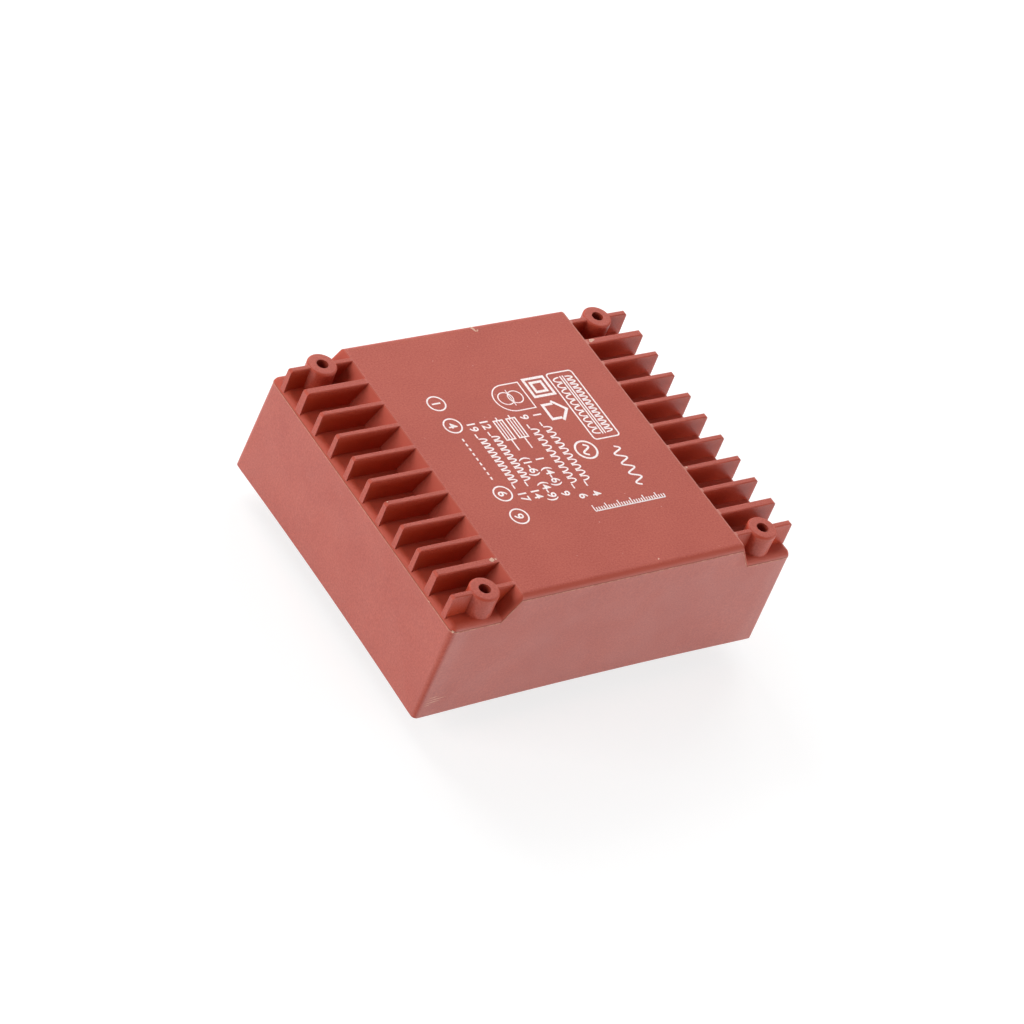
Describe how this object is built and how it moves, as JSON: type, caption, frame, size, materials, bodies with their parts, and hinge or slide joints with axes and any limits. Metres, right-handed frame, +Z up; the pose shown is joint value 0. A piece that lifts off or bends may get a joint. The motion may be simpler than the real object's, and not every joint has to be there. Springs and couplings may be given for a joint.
{
  "type": "pcb transformer",
  "caption": "Low-profile encapsulated transformer for a circuit board: red finned case, potted two-coil core, screw bosses and solder pins.",
  "frame": {"origin": "centre of the four fixing holes in the plane of the case's open rim, where the board lies", "axes": "+X along the cooling fins, towards the secondary pins; +Y across the fins; +Z up from the board"},
  "size_m": [0.068, 0.057, 0.0278],
  "materials": {
    "case_plastic": "matte brick-red moulding with a fine spark-eroded grain",
    "potting_resin": "filled casting resin with a low sheen",
    "core_steel": "varnished electrical sheet",
    "bobbin_plastic": "natural glass-filled nylon",
    "enamelled_wire": "enamelled copper wire, close wound",
    "polyester_tape": "yellow polyester tape",
    "tinned_pin": "tinned, soft shine",
    "lead_wire": "tinned copper wire and solder"
  },
  "bodies": {
    "root": {"case": "case_plastic", "potting": "potting_resin", "core_u_laminations": "core_steel", "core_i_laminations": "core_steel", "bobbin_a": "bobbin_plastic", "bobbin_b": "bobbin_plastic", "primary_winding_a": "enamelled_wire", "primary_winding_b": "enamelled_wire", "secondary_winding_a": "enamelled_wire", "secondary_winding_b": "enamelled_wire", "primary_tape_a": "polyester_tape", "primary_tape_b": "polyester_tape", "secondary_tape_a": "polyester_tape", "secondary_tape_b": "polyester_tape", "pin_1": "tinned_pin", "pin_4": "tinned_pin", "pin_6": "tinned_pin", "pin_9": "tinned_pin", "pin_12": "tinned_pin", "pin_14": "tinned_pin", "pin_17": "tinned_pin", "pin_19": "tinned_pin", "primary_leads_a": "lead_wire", "primary_leads_b": "lead_wire", "secondary_leads_a": "lead_wire", "secondary_leads_b": "lead_wire"}
  },
  "joints": []
}
